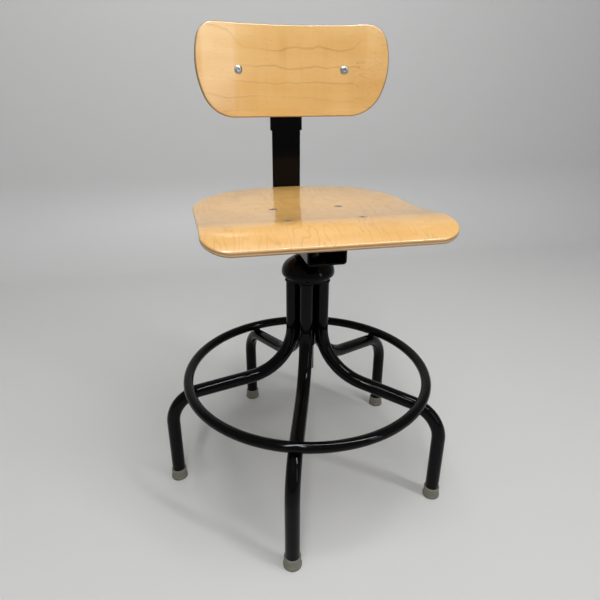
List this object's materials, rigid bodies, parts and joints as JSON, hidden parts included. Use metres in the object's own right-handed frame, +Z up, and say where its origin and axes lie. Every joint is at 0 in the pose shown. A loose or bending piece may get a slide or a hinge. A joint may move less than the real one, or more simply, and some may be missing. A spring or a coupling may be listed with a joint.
{
  "type": "machinist stool",
  "caption": "Height-adjustable stool with a plywood seat and backrest on a tubular steel base with a foot ring; the back slides and tilts.",
  "frame": {"origin": "on the floor, on the axis of the column", "axes": "+Z up along the column, -Y the way the sitter faces, +X towards the sitter's left"},
  "size_m": [0.5281, 0.5436, 0.8471],
  "materials": {
    "frame_enamel": "gloss black enamel",
    "glide_rubber": "dull olive grey rubber",
    "stem_steel": "dark oiled steel",
    "bush_nylon": "off-white nylon",
    "zinc_steel": "zinc-plated steel",
    "seat_bolt_steel": "dull plated steel",
    "knob_plastic": "black moulded plastic",
    "maple_ply": "lacquered honey maple plywood"
  },
  "bodies": {
    "base": {"leg_1": "frame_enamel", "leg_2": "frame_enamel", "leg_3": "frame_enamel", "leg_4": "frame_enamel", "leg_5": "frame_enamel", "glide_1": "glide_rubber", "glide_2": "glide_rubber", "glide_3": "glide_rubber", "glide_4": "glide_rubber", "glide_5": "glide_rubber", "foot_ring": "frame_enamel", "ring_welds": "frame_enamel", "column_tube": "frame_enamel", "column_plug": "frame_enamel", "top_plate": "frame_enamel", "column_bush": "bush_nylon", "lock_ring": "zinc_steel", "lock_spring": "zinc_steel", "bell_cover": "frame_enamel"},
    "stem": {"stem_tube": "stem_steel", "stem_guide": "stem_steel", "stem_cap": "stem_steel", "thrust_washer": "bush_nylon", "swivel_washer": "zinc_steel", "swivel_nut": "zinc_steel"},
    "seat": {"swivel_hub": "frame_enamel", "seat_channel": "frame_enamel", "front_cross_bar": "frame_enamel", "rear_cross_bar": "frame_enamel", "strap_keeper": "frame_enamel", "seat_board": "maple_ply", "seat_bolts": "seat_bolt_steel", "seat_nuts": "zinc_steel", "depth_nut": "zinc_steel"},
    "strap": {"back_strap": "frame_enamel"},
    "depth_clamp": {"depth_stud": "zinc_steel", "depth_knob": "knob_plastic"},
    "sleeve": {"back_sleeve": "frame_enamel", "pivot_barrel": "frame_enamel", "height_nut": "zinc_steel"},
    "height_clamp": {"height_stud": "zinc_steel", "height_knob": "knob_plastic"},
    "backrest": {"back_bracket": "frame_enamel", "backrest_board": "maple_ply", "back_bolts": "zinc_steel", "back_nuts": "zinc_steel", "pivot_pin": "zinc_steel", "friction_washers": "bush_nylon"}
  },
  "joints": [
    {"name": "seat_height", "type": "slide", "parent": "base", "child": "stem", "axis": [0, 0, 1], "range_m": [0, 0.108]},
    {"name": "seat_swivel", "type": "hinge", "parent": "stem", "child": "seat", "pos_m": [0, 0, 0.49], "axis": [0, 0, 1], "continuous": true},
    {"name": "back_depth", "type": "slide", "parent": "seat", "child": "strap", "axis": [0, 1, 0], "range_m": [0, 0.04]},
    {"name": "depth_knob_turn", "type": "hinge", "parent": "seat", "child": "depth_clamp", "pos_m": [0, 0.072, 0.46], "axis": [0, 0, -1], "range_deg": [0, 360]},
    {"name": "back_height", "type": "slide", "parent": "strap", "child": "sleeve", "axis": [0, 0, 1], "range_m": [-0.06, 0.05]},
    {"name": "height_knob_turn", "type": "hinge", "parent": "sleeve", "child": "height_clamp", "pos_m": [0, 0.237, 0.702], "axis": [0, 1, 0], "range_deg": [0, 360]},
    {"name": "back_tilt", "type": "hinge", "parent": "sleeve", "child": "backrest", "pos_m": [0, 0.1827, 0.768], "axis": [1, 0, 0], "range_deg": [-15, 15]}
  ]
}
